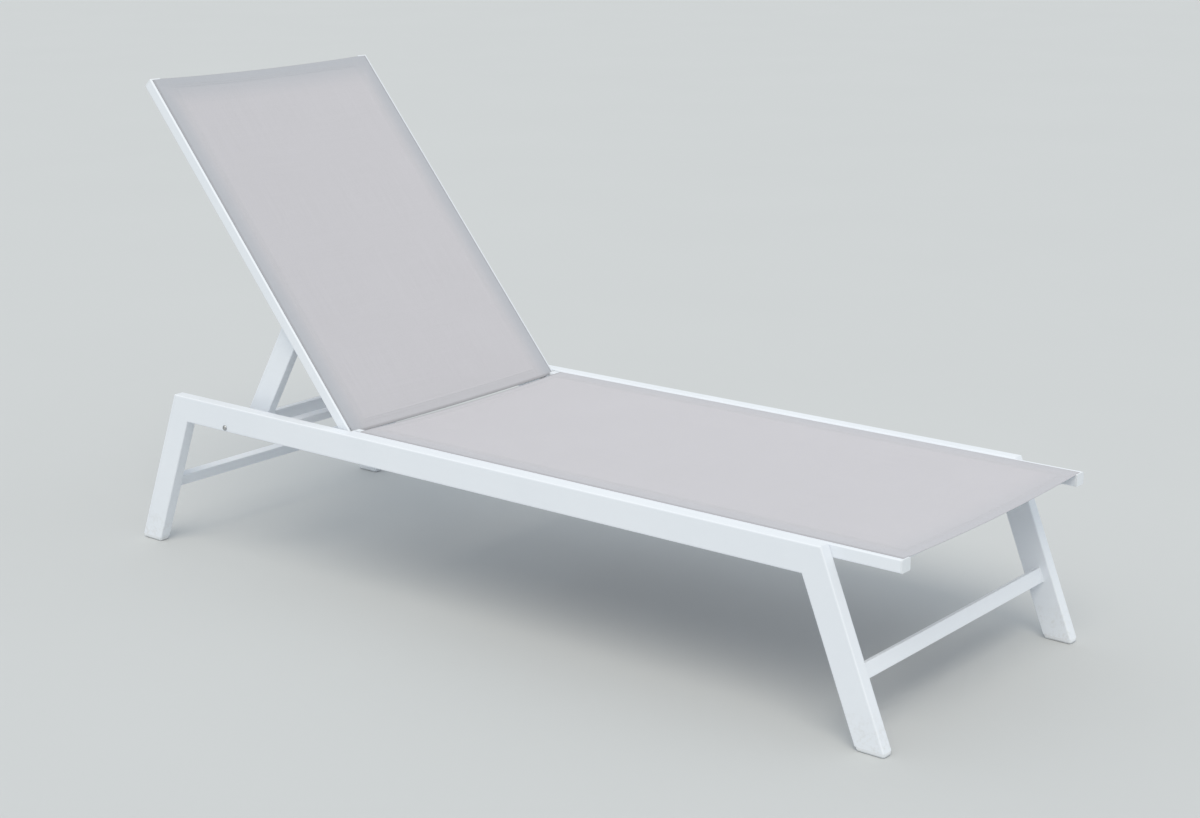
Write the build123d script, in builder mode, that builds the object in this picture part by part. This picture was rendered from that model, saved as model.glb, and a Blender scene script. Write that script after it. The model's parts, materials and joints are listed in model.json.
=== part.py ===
import os
from math import acos, asin, atan2, cos, degrees, hypot, pi, radians, sin, tan

from build123d import *

# Reclining sun lounger with a sling seat and a sling back, in millimetres.
# X runs across, Y along the lounger from the foot end (-Y) to the head end (+Y), Z is up.
# The origin lies on the ground under the middle of the object. Left is -X and right is +X.

# Overall sizes
overall_length = 1814.0
overall_width = 650.0
frame_height = 326.0
foot_overhang = 134.0
leg_splay = 129.0

# Side rail and leg tube
tube_height = 52.0
tube_width = 24.0
tube_wall = 1.5
tube_round = 2.5

# Feet
foot_height = 8.0
foot_plug_height = 18.0
foot_corner = 6.0
foot_round = 5.0
plug_clearance = 0.2

# Crossbar and spreader tube
bar_long = 26.0
bar_short = 15.0
bar_wall = 1.2
bar_round = 1.5
front_bar_height = 116.0
rear_bar_height = 130.0

# Sling rail extrusion, for the seat and for the back
rail_width = 25.0
rail_depth = 22.0
rail_wall = 1.8
rail_round = 2.0
seat_groove_inset = 9.5
back_groove_inset = 5.5
groove_depth = 6.5
groove_radius = 4.2
groove_slot = 3.0
groove_block = 12.0
cap_thickness = 3.0
cap_plug_length = 12.0

# Slings and the keder rods in their hems
sling_thickness = 1.0
seat_sag = 6.0
back_sag = 8.0
keder_radius = 2.4
hem_gap = 0.1
seat_sling_stop = 22.0
back_sling_start = -3.0
back_hem_start = 8.0

# Spreader tubes, and their places from the ends of the rails and of the back
spreader_width = 26.0
spreader_thickness = 10.0
seat_spreader_inset = 40.0
seat_spreader_count = 3
back_spreader_low = 110.0
back_spreader_top_inset = 42.0

# Back, from its hinge to its top end
back_hinge_inset = 593.0
back_length = 818.0
back_angle = 50.3
back_side_gap = 5.0
hinge_end_gap = 4.0

# Prop that holds the back up
prop_hinge_distance = 267.1
prop_angle = 59.4
prop_foot_drop = 20.2
prop_width = 48.0
prop_thickness = 20.0
prop_wall = 1.5
prop_round = 2.0
prop_end_radius = 8.5
prop_top_drop = 12.0
prop_bar_drop = 12.0
prop_bar_gap = 5.0
prop_plug_thickness = 3.0
prop_plug_length = 12.0
peg_radius = 5.0
peg_end_gap = 1.5
peg_rail_gap = 0.7
peg_fit = 0.05

# Brace between the side rails, in front of the prop's foot
brace_distance = 226.6
brace_drop = 33.0

# Toothed racks inside the side rails
rack_thickness = 5.0
rack_crest_gap = 0.5
notch_depth = 5.0
notch_clearance = 0.5
notch_back_angles = (50.3, 40.0, 30.0)
rack_end_angles = (52.5, 27.5)
rack_crest_points = 7
rack_bolt_distance = 314.0
rack_bolt_rise = 8.0

# Hinge hardware
hinge_bolt_radius = 4.0
hinge_head_radius = 6.5
hinge_head_height = 4.5
hinge_socket_radius = 2.9
bush_wall = 1.5
bush_flange_radius = 8.2
back_flange_gap = 0.3
running_fit = 0.06
head_gap = 0.3
prop_side_gap = 1.3
hinge_nut_length = 10.0
hinge_nut_wall = 1.6

# Seat rail bolts and rack bolts
small_bolt_radius = 3.0
small_head_radius = 5.5
small_head_height = 3.0
small_head_dome_share = 0.8
small_socket_radius = 2.3
small_socket_depth = 1.8
small_nut_length = 9.0
small_nut_wall = 1.5
nut_collar = 1.6
nut_collar_thickness = 1.8
hole_fit = 0.1
rack_bolt_radius = 2.5
seat_bolt_shares = (0.181, 0.541, 0.887)

# How far each cut runs past what it cuts
overrun = 1.0

SIDES = (("left", -1), ("right", 1))
ENDS = (("front", -1), ("rear", 1))

# Places that follow from the sizes
half_width = overall_width / 2
inner_x = half_width - tube_width
foot_end_y = -overall_length / 2
corner_y = {-1: foot_end_y + foot_overhang, 1: overall_length / 2 - leg_splay}
back_hinge_y = overall_length / 2 - back_hinge_inset
leg_lean = atan2(leg_splay, frame_height)
rail_axis_z = frame_height - sling_thickness - rail_depth / 2
seat_rail_start = foot_end_y + cap_thickness
seat_rail_stop = back_hinge_y - rail_depth / 2 - hinge_end_gap - cap_thickness
seat_rail_length = seat_rail_stop - seat_rail_start
seat_bolt_ys = [seat_rail_start + share * seat_rail_length for share in seat_bolt_shares]
rack_bolt_place = (back_hinge_y + rack_bolt_distance, frame_height - tube_height + rack_bolt_rise)
back_outer_x = inner_x - back_side_gap
back_inner_x = back_outer_x - rail_width
back_rail_length = back_length - cap_thickness
seat_groove_x = inner_x - seat_groove_inset
back_groove_x = back_outer_x - back_groove_inset
prop_outer_x = back_inner_x - prop_side_gap
prop_inner_x = prop_outer_x - prop_thickness
peg_end_x = inner_x - peg_end_gap
chamber_width = rail_width - 2 * rail_wall
chamber_height = rail_depth - groove_block - rail_wall
chamber_v = -rail_depth / 2 + rail_wall + chamber_height / 2
groove_v = rail_depth / 2 - groove_depth
bush_radius = hinge_bolt_radius + running_fit + bush_wall
hinge_nut_radius = hinge_bolt_radius + hinge_nut_wall
small_nut_radius = small_bolt_radius + small_nut_wall

# Prop length, where its level foot lies, and how fast the prop turns while the back turns
prop_length = (prop_hinge_distance * sin(radians(back_angle)) + prop_foot_drop) / sin(radians(prop_angle))
prop_foot_reach = prop_bar_drop + bar_long / 2 + prop_bar_gap
peg_flat_drop = rail_depth / 2 + peg_radius + peg_rail_gap
prop_angle_flat = degrees(asin(peg_flat_drop / prop_length))
prop_rate = (prop_angle - prop_angle_flat) / back_angle


def yz_plane(x):
    """Side view plane at x: sketch x is Y and sketch y is Z."""
    return Plane(origin=(x, 0, 0), x_dir=(0, 1, 0), z_dir=(1, 0, 0))


def seat_section(y):
    """Cross-section plane of the seat at y: sketch x is X, sketch y is up from the rail axis."""
    return Plane(origin=(0, y, rail_axis_z), x_dir=(1, 0, 0), z_dir=(0, -1, 0))


def back_point(u, v=0.0, angle=back_angle):
    """Point of the back, u along it from the hinge and v towards the sitter, as (y, z)."""
    c = cos(radians(angle))
    s = sin(radians(angle))
    return (back_hinge_y + u * c - v * s, rail_axis_z + u * s + v * c)


def back_section(u):
    """Cross-section plane of the back at u: sketch x is X, sketch y is towards the sitter."""
    y, z = back_point(u)
    c = cos(radians(back_angle))
    s = sin(radians(back_angle))
    return Plane(origin=(0, y, z), x_dir=(1, 0, 0), z_dir=(0, -c, -s))


def back_side(x):
    """Side view plane of the back at x: sketch x runs up the back from the hinge."""
    c = cos(radians(back_angle))
    s = sin(radians(back_angle))
    return Plane(origin=(x, back_hinge_y, rail_axis_z), x_dir=(0, c, s), z_dir=(1, 0, 0))


def prop_side(x):
    """Side view plane of the prop at x, at its hinge: sketch y runs up the prop."""
    y, z = back_point(prop_hinge_distance)
    c = cos(radians(prop_angle))
    s = sin(radians(prop_angle))
    return Plane(origin=(x, y, z), x_dir=(0, s, c), z_dir=(1, 0, 0))


def peg_place(angle):
    """Centre of the pegs as (y, z) when the back stands at this angle above flat."""
    y, z = back_point(prop_hinge_distance, angle=angle)
    prop = radians(prop_angle + prop_rate * (angle - back_angle))
    return (y + prop_length * cos(prop), z - prop_length * sin(prop))


def leg_point(end, inset, z):
    """Point (y, z) on the line that lies inset inside a leg's outer face."""
    slant = tan(leg_lean) * (frame_height - z)
    return (corner_y[end] + end * (slant - inset / cos(leg_lean)), z)


def mitre_point(end, inset):
    """Point of the mitre between side rail and leg, inset from both outer faces."""
    return leg_point(end, inset, frame_height - inset)


def finish(builder, name):
    """Label a finished piece and write its file."""
    builder.part.label = name
    export_step(builder.part, f"parts/{name}.step")


def mitred_tube(outline, void, side):
    """Rectangular tube seen from the side as an outline, with its bore as a second outline."""
    middle_x = side * (half_width - tube_width / 2)
    with BuildPart() as tube:
        with BuildSketch(yz_plane(middle_x)):
            Polygon(*outline, align=None)
        extrude(amount=tube_width / 2, both=True)
        fillet(tube.edges().sort_by(SortBy.LENGTH)[-4:], radius=tube_round)
        with BuildSketch(yz_plane(middle_x)):
            Polygon(*void, align=None)
        extrude(amount=tube_width / 2 - tube_wall, both=True, mode=Mode.SUBTRACT)
    return tube


def cross_pin(place, radius, start_x, stop_x, side):
    """Round solid across the lounger, from start_x to stop_x away from its middle, used to cut holes."""
    with BuildPart() as pin:
        with BuildSketch(yz_plane(side * start_x)):
            with Locations(place):
                Circle(radius)
        extrude(amount=side * (stop_x - start_x))
    return pin.part


def side_rail(side):
    """Side rail, mitred to both legs, with the holes for the rivet nuts and the rack bolt."""
    far = tube_height - tube_wall
    outline = [
        mitre_point(-1, 0),
        mitre_point(1, 0),
        mitre_point(1, tube_height),
        mitre_point(-1, tube_height),
    ]
    void = [
        mitre_point(-1, tube_wall),
        mitre_point(1, tube_wall),
        mitre_point(1, far),
        mitre_point(-1, far),
    ]
    wall_start = inner_x - overrun
    wall_stop = inner_x + tube_wall + overrun
    with BuildPart() as rail:
        add(mitred_tube(outline, void, side).part)
        for y in seat_bolt_ys:
            place = (y, rail_axis_z + chamber_v)
            hole = cross_pin(place, small_nut_radius + hole_fit, wall_start, wall_stop, side)
            add(hole, mode=Mode.SUBTRACT)
        place = (back_hinge_y, rail_axis_z)
        hole = cross_pin(place, hinge_nut_radius + hole_fit, wall_start, wall_stop, side)
        add(hole, mode=Mode.SUBTRACT)
        outer = half_width + overrun
        hole = cross_pin(rack_bolt_place, rack_bolt_radius + hole_fit, wall_start, outer, side)
        add(hole, mode=Mode.SUBTRACT)
    return rail


def leg(end, side):
    """Splayed leg, mitred to the side rail and cut level above its foot."""
    far = tube_height - tube_wall
    outline = [
        mitre_point(end, 0),
        leg_point(end, 0, foot_height),
        leg_point(end, tube_height, foot_height),
        mitre_point(end, tube_height),
    ]
    void = [
        mitre_point(end, tube_wall),
        leg_point(end, tube_wall, foot_height),
        leg_point(end, far, foot_height),
        mitre_point(end, far),
    ]
    return mitred_tube(outline, void, side)


def foot(end, side):
    """Plastic foot: a pad that continues the leg to the ground and a plug in the tube."""
    middle_x = side * (half_width - tube_width / 2)
    inset = tube_wall + plug_clearance
    plug_top = foot_height + foot_plug_height
    with BuildPart() as pad:
        with BuildSketch(yz_plane(middle_x)):
            Polygon(
                leg_point(end, 0, foot_height),
                leg_point(end, 0, 0),
                leg_point(end, tube_height, 0),
                leg_point(end, tube_height, foot_height),
                align=None,
            )
        extrude(amount=tube_width / 2, both=True)
        slanted = pad.edges().filter_by(Axis.X, reverse=True).filter_by(Axis.Y, reverse=True)
        fillet(slanted, radius=foot_corner)
        fillet(pad.faces().sort_by(Axis.Z)[0].edges(), radius=foot_round)
        with BuildSketch(yz_plane(middle_x)):
            Polygon(
                leg_point(end, inset, foot_height - overrun),
                leg_point(end, inset, plug_top),
                leg_point(end, tube_height - inset, plug_top),
                leg_point(end, tube_height - inset, foot_height - overrun),
                align=None,
            )
        extrude(amount=tube_width / 2 - inset, both=True)
    return pad


def crossbar(end, height):
    """Crossbar welded between two legs, leaning with them."""
    with BuildPart() as bar:
        with BuildSketch(yz_plane(0)):
            with Locations(leg_point(end, tube_height / 2, height)):
                RectangleRounded(bar_short, bar_long, bar_round, rotation=end * degrees(leg_lean))
                Rectangle(
                    bar_short - 2 * bar_wall,
                    bar_long - 2 * bar_wall,
                    rotation=end * degrees(leg_lean),
                    mode=Mode.SUBTRACT,
                )
        extrude(amount=inner_x, both=True)
    return bar


def rail_profile(outer_x, groove_x, side):
    """Section of the sling rail: box with a hollow chamber and a keder groove on its top face."""
    middle_x = side * (outer_x - rail_width / 2)
    slot_height = rail_depth / 2 + overrun - groove_v
    with Locations((middle_x, 0)):
        RectangleRounded(rail_width, rail_depth, rail_round)
    with Locations((middle_x, chamber_v)):
        Rectangle(chamber_width, chamber_height, mode=Mode.SUBTRACT)
    with Locations((side * groove_x, groove_v)):
        Circle(groove_radius, mode=Mode.SUBTRACT)
    with Locations((side * groove_x, groove_v + slot_height / 2)):
        Rectangle(groove_slot, slot_height, mode=Mode.SUBTRACT)


def seat_rail(side):
    """Sling rail of the seat, beside the side rail and bolted to it."""
    with BuildPart() as rail:
        with BuildSketch(seat_section(seat_rail_start)):
            rail_profile(inner_x, seat_groove_x, side)
        extrude(amount=-seat_rail_length)
        for y in seat_bolt_ys:
            place = (y, rail_axis_z + chamber_v)
            start = inner_x - rail_width - overrun
            hole = cross_pin(place, small_bolt_radius + hole_fit, start, inner_x + overrun, side)
            add(hole, mode=Mode.SUBTRACT)
    return rail


def back_rail(side):
    """Sling rail of the back, rounded about the hinge, with the holes of both hinges."""
    start = -rail_depth / 2
    with BuildPart() as rail:
        with BuildSketch(back_section(start)):
            rail_profile(back_outer_x, back_groove_x, side)
        extrude(amount=-(back_rail_length - start))
        with BuildSketch(back_side(side * (back_outer_x + overrun))):
            with Locations((start / 2 - overrun, 0)):
                Rectangle(-start + 2 * overrun, rail_depth + 2 * overrun)
            Circle(rail_depth / 2, mode=Mode.SUBTRACT)
            with Locations((-start / 2, 0)):
                Rectangle(-start, rail_depth + 2 * overrun, mode=Mode.SUBTRACT)
        extrude(amount=-side * (rail_width + 2 * overrun), mode=Mode.SUBTRACT)
        with BuildSketch(back_side(side * (back_outer_x + overrun))):
            Circle(bush_radius + hole_fit)
        extrude(amount=-side * (rail_width + 2 * overrun), mode=Mode.SUBTRACT)
        with BuildSketch(back_side(side * (back_inner_x - overrun))):
            with Locations((prop_hinge_distance, 0)):
                Circle(hinge_nut_radius + hole_fit)
        extrude(amount=side * (hinge_nut_length + overrun + hole_fit), mode=Mode.SUBTRACT)
        with BuildSketch(back_side(side * (back_inner_x + rail_wall))):
            with Locations((prop_hinge_distance, 0)):
                Circle(hinge_nut_radius + nut_collar + hole_fit)
        extrude(amount=side * (hinge_nut_length - rail_wall + hole_fit), mode=Mode.SUBTRACT)
    return rail


def rail_cap(plane, outward, outer_x, side):
    """Plastic cap of a rail end: a plate over the end and a plug in the chamber."""
    middle_x = side * (outer_x - rail_width / 2)
    with BuildPart() as cap:
        with BuildSketch(plane):
            with Locations((middle_x, 0)):
                RectangleRounded(rail_width, rail_depth, rail_round)
        extrude(amount=outward * cap_thickness)
        with BuildSketch(plane):
            with Locations((middle_x, chamber_v)):
                Rectangle(chamber_width - 2 * plug_clearance, chamber_height - 2 * plug_clearance)
        extrude(amount=-outward * cap_plug_length)
    return cap


def spreader(plane, outer_x):
    """Flat tube that holds the two rails apart below the sling."""
    with BuildPart() as bar:
        with BuildSketch(plane):
            with Locations((0, -rail_depth / 2 + spreader_thickness / 2)):
                Rectangle(2 * (outer_x - rail_width), spreader_thickness)
        extrude(amount=spreader_width / 2, both=True)
        fillet(bar.edges().filter_by(Axis.X), radius=bar_round)
        with BuildSketch(plane):
            with Locations((0, -rail_depth / 2 + spreader_thickness / 2)):
                Rectangle(2 * (outer_x - rail_width) + 2 * overrun, spreader_thickness - 2 * bar_wall)
        extrude(amount=spreader_width / 2 - bar_wall, both=True, mode=Mode.SUBTRACT)
    return bar


def sling_section(plane, outer_x, groove_x, sag, hemmed):
    """Section of the sheet, flat on both rails and sagging between them.

    A hemmed section drops into the grooves and closes round the keder rods.
    """
    low = rail_depth / 2
    top = low + sling_thickness
    rail_edge_x = outer_x - rail_width
    edge_x = groove_x + sling_thickness / 2
    inner = keder_radius + hem_gap
    with BuildSketch(plane) as section:
        with BuildLine():
            Polyline((-rail_edge_x, low), (-edge_x, low), (-edge_x, top), (-rail_edge_x, top))
            ThreePointArc((-rail_edge_x, top), (0, top - sag), (rail_edge_x, top))
            Polyline((rail_edge_x, top), (edge_x, top), (edge_x, low), (rail_edge_x, low))
            ThreePointArc((rail_edge_x, low), (0, low - sag), (-rail_edge_x, low))
        make_face()
        if hemmed:
            with Locations((-groove_x, (top + groove_v) / 2), (groove_x, (top + groove_v) / 2)):
                Rectangle(sling_thickness, top - groove_v)
            with Locations((-groove_x, groove_v), (groove_x, groove_v)):
                Circle(inner + sling_thickness)
                Circle(inner, mode=Mode.SUBTRACT)
    return section.sketch


def sling(section, start, hem_start, stop, outer_x, groove_x, sag):
    """Stretched sheet from start to stop along the rails, hemmed from hem_start on."""
    with BuildPart() as sheet:
        hemmed = sling_section(section(hem_start), outer_x, groove_x, sag, True)
        extrude(hemmed, amount=-(stop - hem_start))
        if hem_start > start:
            plain = sling_section(section(start), outer_x, groove_x, sag, False)
            extrude(plain, amount=-(hem_start - start))
    return sheet


def keder(plane, length, groove_x, side):
    """Round rod inside a hem."""
    with BuildPart() as rod:
        with BuildSketch(plane):
            with Locations((side * groove_x, groove_v)):
                Circle(keder_radius)
        extrude(amount=-length)
    return rod


def turned(place, side, runs, bore_radius=0.0):
    """Turned piece across the lounger: runs of (radius, start x, stop x) on one axis, and a through bore."""
    with BuildPart() as piece:
        for radius, start, stop in runs:
            add(cross_pin(place, radius, start, stop, side))
        if bore_radius > 0:
            bore_start = min(run[1] for run in runs) - overrun
            bore_stop = max(run[2] for run in runs) + overrun
            add(cross_pin(place, bore_radius, bore_start, bore_stop, side), mode=Mode.SUBTRACT)
    return piece


def rivet_nut(place, side, start_x, wall, bolt_radius, nut_radius, length):
    """Flush rivet nut with its crimped collar behind a wall, opening towards the middle."""
    collar_start = start_x + wall
    runs = (
        (nut_radius, start_x, start_x + length),
        (nut_radius + nut_collar, collar_start, collar_start + nut_collar_thickness),
    )
    return turned(place, side, runs, bolt_radius + running_fit)


def hinge_bolt(place, side, head_x, stop_x):
    """Shouldered hinge bolt with its socket head towards the middle of the lounger."""
    runs = (
        (hinge_head_radius, head_x - hinge_head_height, head_x),
        (hinge_bolt_radius, head_x - overrun, stop_x),
    )
    socket_start = head_x - hinge_head_height - overrun
    socket_stop = head_x - hinge_head_height / 2
    with BuildPart() as bolt:
        add(turned(place, side, runs).part)
        with BuildSketch(yz_plane(side * socket_start)):
            with Locations(place):
                RegularPolygon(hinge_socket_radius, 6)
        extrude(amount=side * (socket_stop - socket_start), mode=Mode.SUBTRACT)
    return bolt


def small_bolt(place, side, head_x, stop_x, radius, outward):
    """Dome-head bolt, its head at head_x and its shank running to stop_x."""
    reach = -outward
    with BuildPart() as bolt:
        with BuildSketch(yz_plane(side * head_x)):
            with Locations(place):
                Circle(small_head_radius)
        extrude(amount=side * outward * small_head_height)
        rim = bolt.faces().sort_by(Axis.X)[-1 if side * outward > 0 else 0].edges()
        fillet(rim, radius=small_head_height * small_head_dome_share)
        with BuildSketch(yz_plane(side * head_x)):
            with Locations(place):
                Circle(radius)
        extrude(amount=side * reach * abs(stop_x - head_x))
        socket_floor = head_x + outward * (small_head_height - small_socket_depth)
        with BuildSketch(yz_plane(side * socket_floor)):
            with Locations(place):
                RegularPolygon(small_socket_radius, 6)
        extrude(amount=side * outward * (small_socket_depth + overrun), mode=Mode.SUBTRACT)
    return bolt


def prop_foot(x, rise=0.0):
    """Point of the level foot of a prop leg, lifted by rise, in the leg's side view."""
    angle = radians(prop_angle)
    return (x, -prop_length - (prop_foot_reach - rise) / sin(angle) - x / tan(angle))


def prop_outline(plane, inset=0.0):
    """Outline of a prop leg, drawn in by inset, with its hinge at the plane's origin."""
    radius = prop_end_radius - inset
    front_x = prop_end_radius - prop_width + inset
    front_y = -prop_top_drop - inset
    reach = hypot(front_x, front_y)
    turn = pi + atan2(-front_y, -front_x) - acos(radius / reach)
    touch = (radius * cos(turn), radius * sin(turn))
    half = (radius * cos(turn / 2), radius * sin(turn / 2))
    with BuildSketch(plane) as outline:
        with BuildLine():
            ThreePointArc((radius, 0), half, touch)
            Polyline(
                touch,
                (front_x, front_y),
                prop_foot(front_x, prop_plug_thickness),
                prop_foot(radius, prop_plug_thickness),
                (radius, 0),
            )
        make_face()
    return outline.sketch


def prop_leg(side):
    """Prop leg: a rectangular tube, closed and rounded about the hinge, open at its foot."""
    middle_x = side * (prop_outer_x + prop_inner_x) / 2
    with BuildPart() as tube:
        extrude(prop_outline(prop_side(middle_x)), amount=prop_thickness / 2, both=True)
        fillet(tube.edges().sort_by(SortBy.LENGTH)[-4:], radius=prop_round)
        bore_outline = prop_outline(prop_side(middle_x), prop_wall)
        extrude(bore_outline, amount=prop_thickness / 2 - prop_wall, both=True, mode=Mode.SUBTRACT)
        with BuildSketch(prop_side(middle_x)):
            Circle(bush_radius + hole_fit)
            with Locations((0, -prop_length)):
                Circle(peg_radius + peg_fit)
        extrude(amount=prop_thickness / 2 + overrun, both=True, mode=Mode.SUBTRACT)
    return tube


def prop_plug(side):
    """Plastic plug in the foot of a prop leg."""
    middle_x = side * (prop_outer_x + prop_inner_x) / 2
    inset = prop_wall + plug_clearance
    front_x = prop_end_radius - prop_width
    plug_top = prop_plug_thickness + prop_plug_length
    with BuildPart() as plug:
        with BuildSketch(prop_side(middle_x)):
            Polygon(
                prop_foot(front_x, prop_plug_thickness),
                prop_foot(prop_end_radius, prop_plug_thickness),
                prop_foot(prop_end_radius),
                prop_foot(front_x),
                align=None,
            )
        extrude(amount=prop_thickness / 2, both=True)
        with BuildSketch(prop_side(middle_x)):
            Polygon(
                prop_foot(front_x + inset, plug_top),
                prop_foot(prop_end_radius - inset, plug_top),
                prop_foot(prop_end_radius - inset, prop_plug_thickness),
                prop_foot(front_x + inset, prop_plug_thickness),
                align=None,
            )
        extrude(amount=prop_thickness / 2 - inset, both=True)
    return plug


def level_bar(place, reach, wide, tall):
    """Crossbar tube about place, as (y, z), reaching the same way to both sides."""
    with BuildPart() as bar:
        with BuildSketch(yz_plane(0)):
            with Locations(place):
                RectangleRounded(wide, tall, bar_round)
                Rectangle(wide - 2 * bar_wall, tall - 2 * bar_wall, mode=Mode.SUBTRACT)
        extrude(amount=reach, both=True)
    return bar


def prop_foot_bar():
    """Bar that joins the two prop legs at their feet, below the pegs."""
    y, z = peg_place(back_angle)
    return level_bar((y, z - prop_bar_drop), prop_inner_x, bar_short, bar_long)


def frame_brace():
    """Bar lying between the side rails, below the back when it lies flat."""
    place = (back_hinge_y + brace_distance, frame_height - brace_drop - bar_short / 2)
    return level_bar(place, inner_x, bar_long, bar_short)


def rack(side):
    """Toothed rack: its crest follows the path of the pegs, with one notch for each position.

    The back rail lying flat has room above the crest.
    """
    first, last = rack_end_angles
    step = (last - first) / (rack_crest_points - 1)
    drop = peg_radius + rack_crest_gap
    crest = []
    for index in range(rack_crest_points):
        y, z = peg_place(first + index * step)
        crest.append((y, z - drop))
    bottom = frame_height - tube_height
    flat_top = rail_axis_z - rail_depth / 2 - rack_crest_gap
    room = drop + peg_radius
    notch_radius = peg_radius + notch_clearance
    with BuildPart() as plate:
        with BuildSketch(yz_plane(side * inner_x)):
            with BuildLine():
                Spline(*crest)
                Polyline(crest[-1], (crest[-1][0], bottom), (crest[0][0], bottom), crest[0])
            make_face()
            for angle in notch_back_angles:
                y, z = peg_place(angle)
                floor_z = z - drop - notch_depth + notch_radius
                with Locations((y, floor_z)):
                    Circle(notch_radius, mode=Mode.SUBTRACT)
                with Locations((y, floor_z + notch_radius)):
                    Rectangle(2 * notch_radius, 2 * notch_radius, mode=Mode.SUBTRACT)
            with Locations((crest[0][0], flat_top + room / 2)):
                Rectangle(2 * rail_depth, room, mode=Mode.SUBTRACT)
        extrude(amount=-side * rack_thickness)
        start = inner_x - rack_thickness - overrun
        hole = cross_pin(rack_bolt_place, rack_bolt_radius + hole_fit, start, inner_x + overrun, side)
        add(hole, mode=Mode.SUBTRACT)
    return plate


def write_frame():
    """Everything that stands still: the tube frame, the seat and the racks."""
    for side_name, side in SIDES:
        finish(side_rail(side), f"side_rail_{side_name}")
        finish(seat_rail(side), f"seat_rail_{side_name}")
        finish(rack(side), f"rack_{side_name}")
        for end_name, end in ENDS:
            finish(leg(end, side), f"{end_name}_leg_{side_name}")
            finish(foot(end, side), f"{end_name}_foot_{side_name}")
            rail_end = seat_rail_start if end < 0 else seat_rail_stop
            cap = rail_cap(seat_section(rail_end), -end, inner_x, side)
            finish(cap, f"seat_cap_{end_name}_{side_name}")
    finish(crossbar(-1, front_bar_height), "front_crossbar")
    finish(crossbar(1, rear_bar_height), "rear_crossbar")
    finish(frame_brace(), "frame_brace")
    with BuildPart() as bolts:
        for _, side in SIDES:
            stop = inner_x - rack_thickness
            add(small_bolt(rack_bolt_place, side, half_width, stop, rack_bolt_radius, 1).part)
    finish(bolts, "rack_bolts")


def write_seat():
    """Seat spreaders, sling, keder rods and the bolts that hold the seat rails."""
    first = seat_rail_start + seat_spreader_inset
    step = (seat_rail_length - 2 * seat_spreader_inset) / (seat_spreader_count - 1)
    for index in range(seat_spreader_count):
        bar = spreader(seat_section(first + index * step), inner_x)
        finish(bar, f"seat_spreader_{index + 1}")
    sling_stop = seat_rail_stop + cap_thickness - seat_sling_stop + hinge_end_gap
    start = seat_rail_start
    sheet = sling(seat_section, start, start, sling_stop, inner_x, seat_groove_x, seat_sag)
    finish(sheet, "seat_sling")
    for side_name, side in SIDES:
        rod = keder(seat_section(seat_rail_start), sling_stop - seat_rail_start, seat_groove_x, side)
        finish(rod, f"seat_keder_{side_name}")
    bolt_z = rail_axis_z + chamber_v
    with BuildPart() as bolts:
        for _, side in SIDES:
            for y in seat_bolt_ys:
                stop = inner_x + small_nut_length
                add(small_bolt((y, bolt_z), side, inner_x - rail_width, stop, small_bolt_radius, -1).part)
    finish(bolts, "seat_rail_bolts")
    with BuildPart() as nuts:
        for _, side in SIDES:
            for y in seat_bolt_ys:
                nut = rivet_nut(
                    (y, bolt_z),
                    side,
                    inner_x,
                    tube_wall,
                    small_bolt_radius,
                    small_nut_radius,
                    small_nut_length,
                )
                add(nut.part)
    finish(nuts, "seat_rail_nuts")


def write_back():
    """Back rails, spreaders, sling, keder rods, caps and the back's hinges."""
    hinge = back_point(0)
    for side_name, side in SIDES:
        finish(back_rail(side), f"back_rail_{side_name}")
        finish(rail_cap(back_section(back_rail_length), -1, back_outer_x, side), f"back_cap_{side_name}")
        length = back_rail_length - back_hem_start
        rod = keder(back_section(back_hem_start), length, back_groove_x, side)
        finish(rod, f"back_keder_{side_name}")
        runs = (
            (bush_radius, back_inner_x, back_outer_x),
            (bush_flange_radius, back_outer_x, inner_x - back_flange_gap),
        )
        bush = turned(hinge, side, runs, hinge_bolt_radius + running_fit)
        finish(bush, f"back_bush_{side_name}")
        bolt = hinge_bolt(hinge, side, back_inner_x - head_gap, inner_x + hinge_nut_length)
        finish(bolt, f"back_hinge_bolt_{side_name}")
    with BuildPart() as nuts:
        for _, side in SIDES:
            nut = rivet_nut(
                hinge, side, inner_x, tube_wall, hinge_bolt_radius, hinge_nut_radius, hinge_nut_length
            )
            add(nut.part)
    finish(nuts, "back_hinge_nuts")
    finish(spreader(back_section(back_spreader_low), back_outer_x), "back_spreader_low")
    top = back_rail_length - back_spreader_top_inset
    finish(spreader(back_section(top), back_outer_x), "back_spreader_top")
    start = back_sling_start
    stop = back_rail_length
    sheet = sling(back_section, start, back_hem_start, stop, back_outer_x, back_groove_x, back_sag)
    finish(sheet, "back_sling")


def write_prop():
    """Prop legs, foot bar, pegs and the prop's hinges."""
    hinge = back_point(prop_hinge_distance)
    peg_at = peg_place(back_angle)
    for side_name, side in SIDES:
        finish(prop_leg(side), f"prop_leg_{side_name}")
        finish(prop_plug(side), f"prop_plug_{side_name}")
        peg = turned(peg_at, side, ((peg_radius, prop_inner_x, peg_end_x),))
        finish(peg, f"prop_peg_{side_name}")
        flange_stop = prop_outer_x + prop_side_gap - head_gap
        runs = (
            (bush_radius, prop_inner_x, prop_outer_x),
            (bush_flange_radius, prop_outer_x, flange_stop),
        )
        bush = turned(hinge, side, runs, hinge_bolt_radius + running_fit)
        finish(bush, f"prop_bush_{side_name}")
        bolt = hinge_bolt(hinge, side, prop_inner_x - head_gap, back_inner_x + hinge_nut_length)
        finish(bolt, f"prop_hinge_bolt_{side_name}")
    with BuildPart() as nuts:
        for _, side in SIDES:
            nut = rivet_nut(
                hinge, side, back_inner_x, rail_wall, hinge_bolt_radius, hinge_nut_radius, hinge_nut_length
            )
            add(nut.part)
    finish(nuts, "prop_hinge_nuts")
    finish(prop_foot_bar(), "prop_foot_bar")


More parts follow.
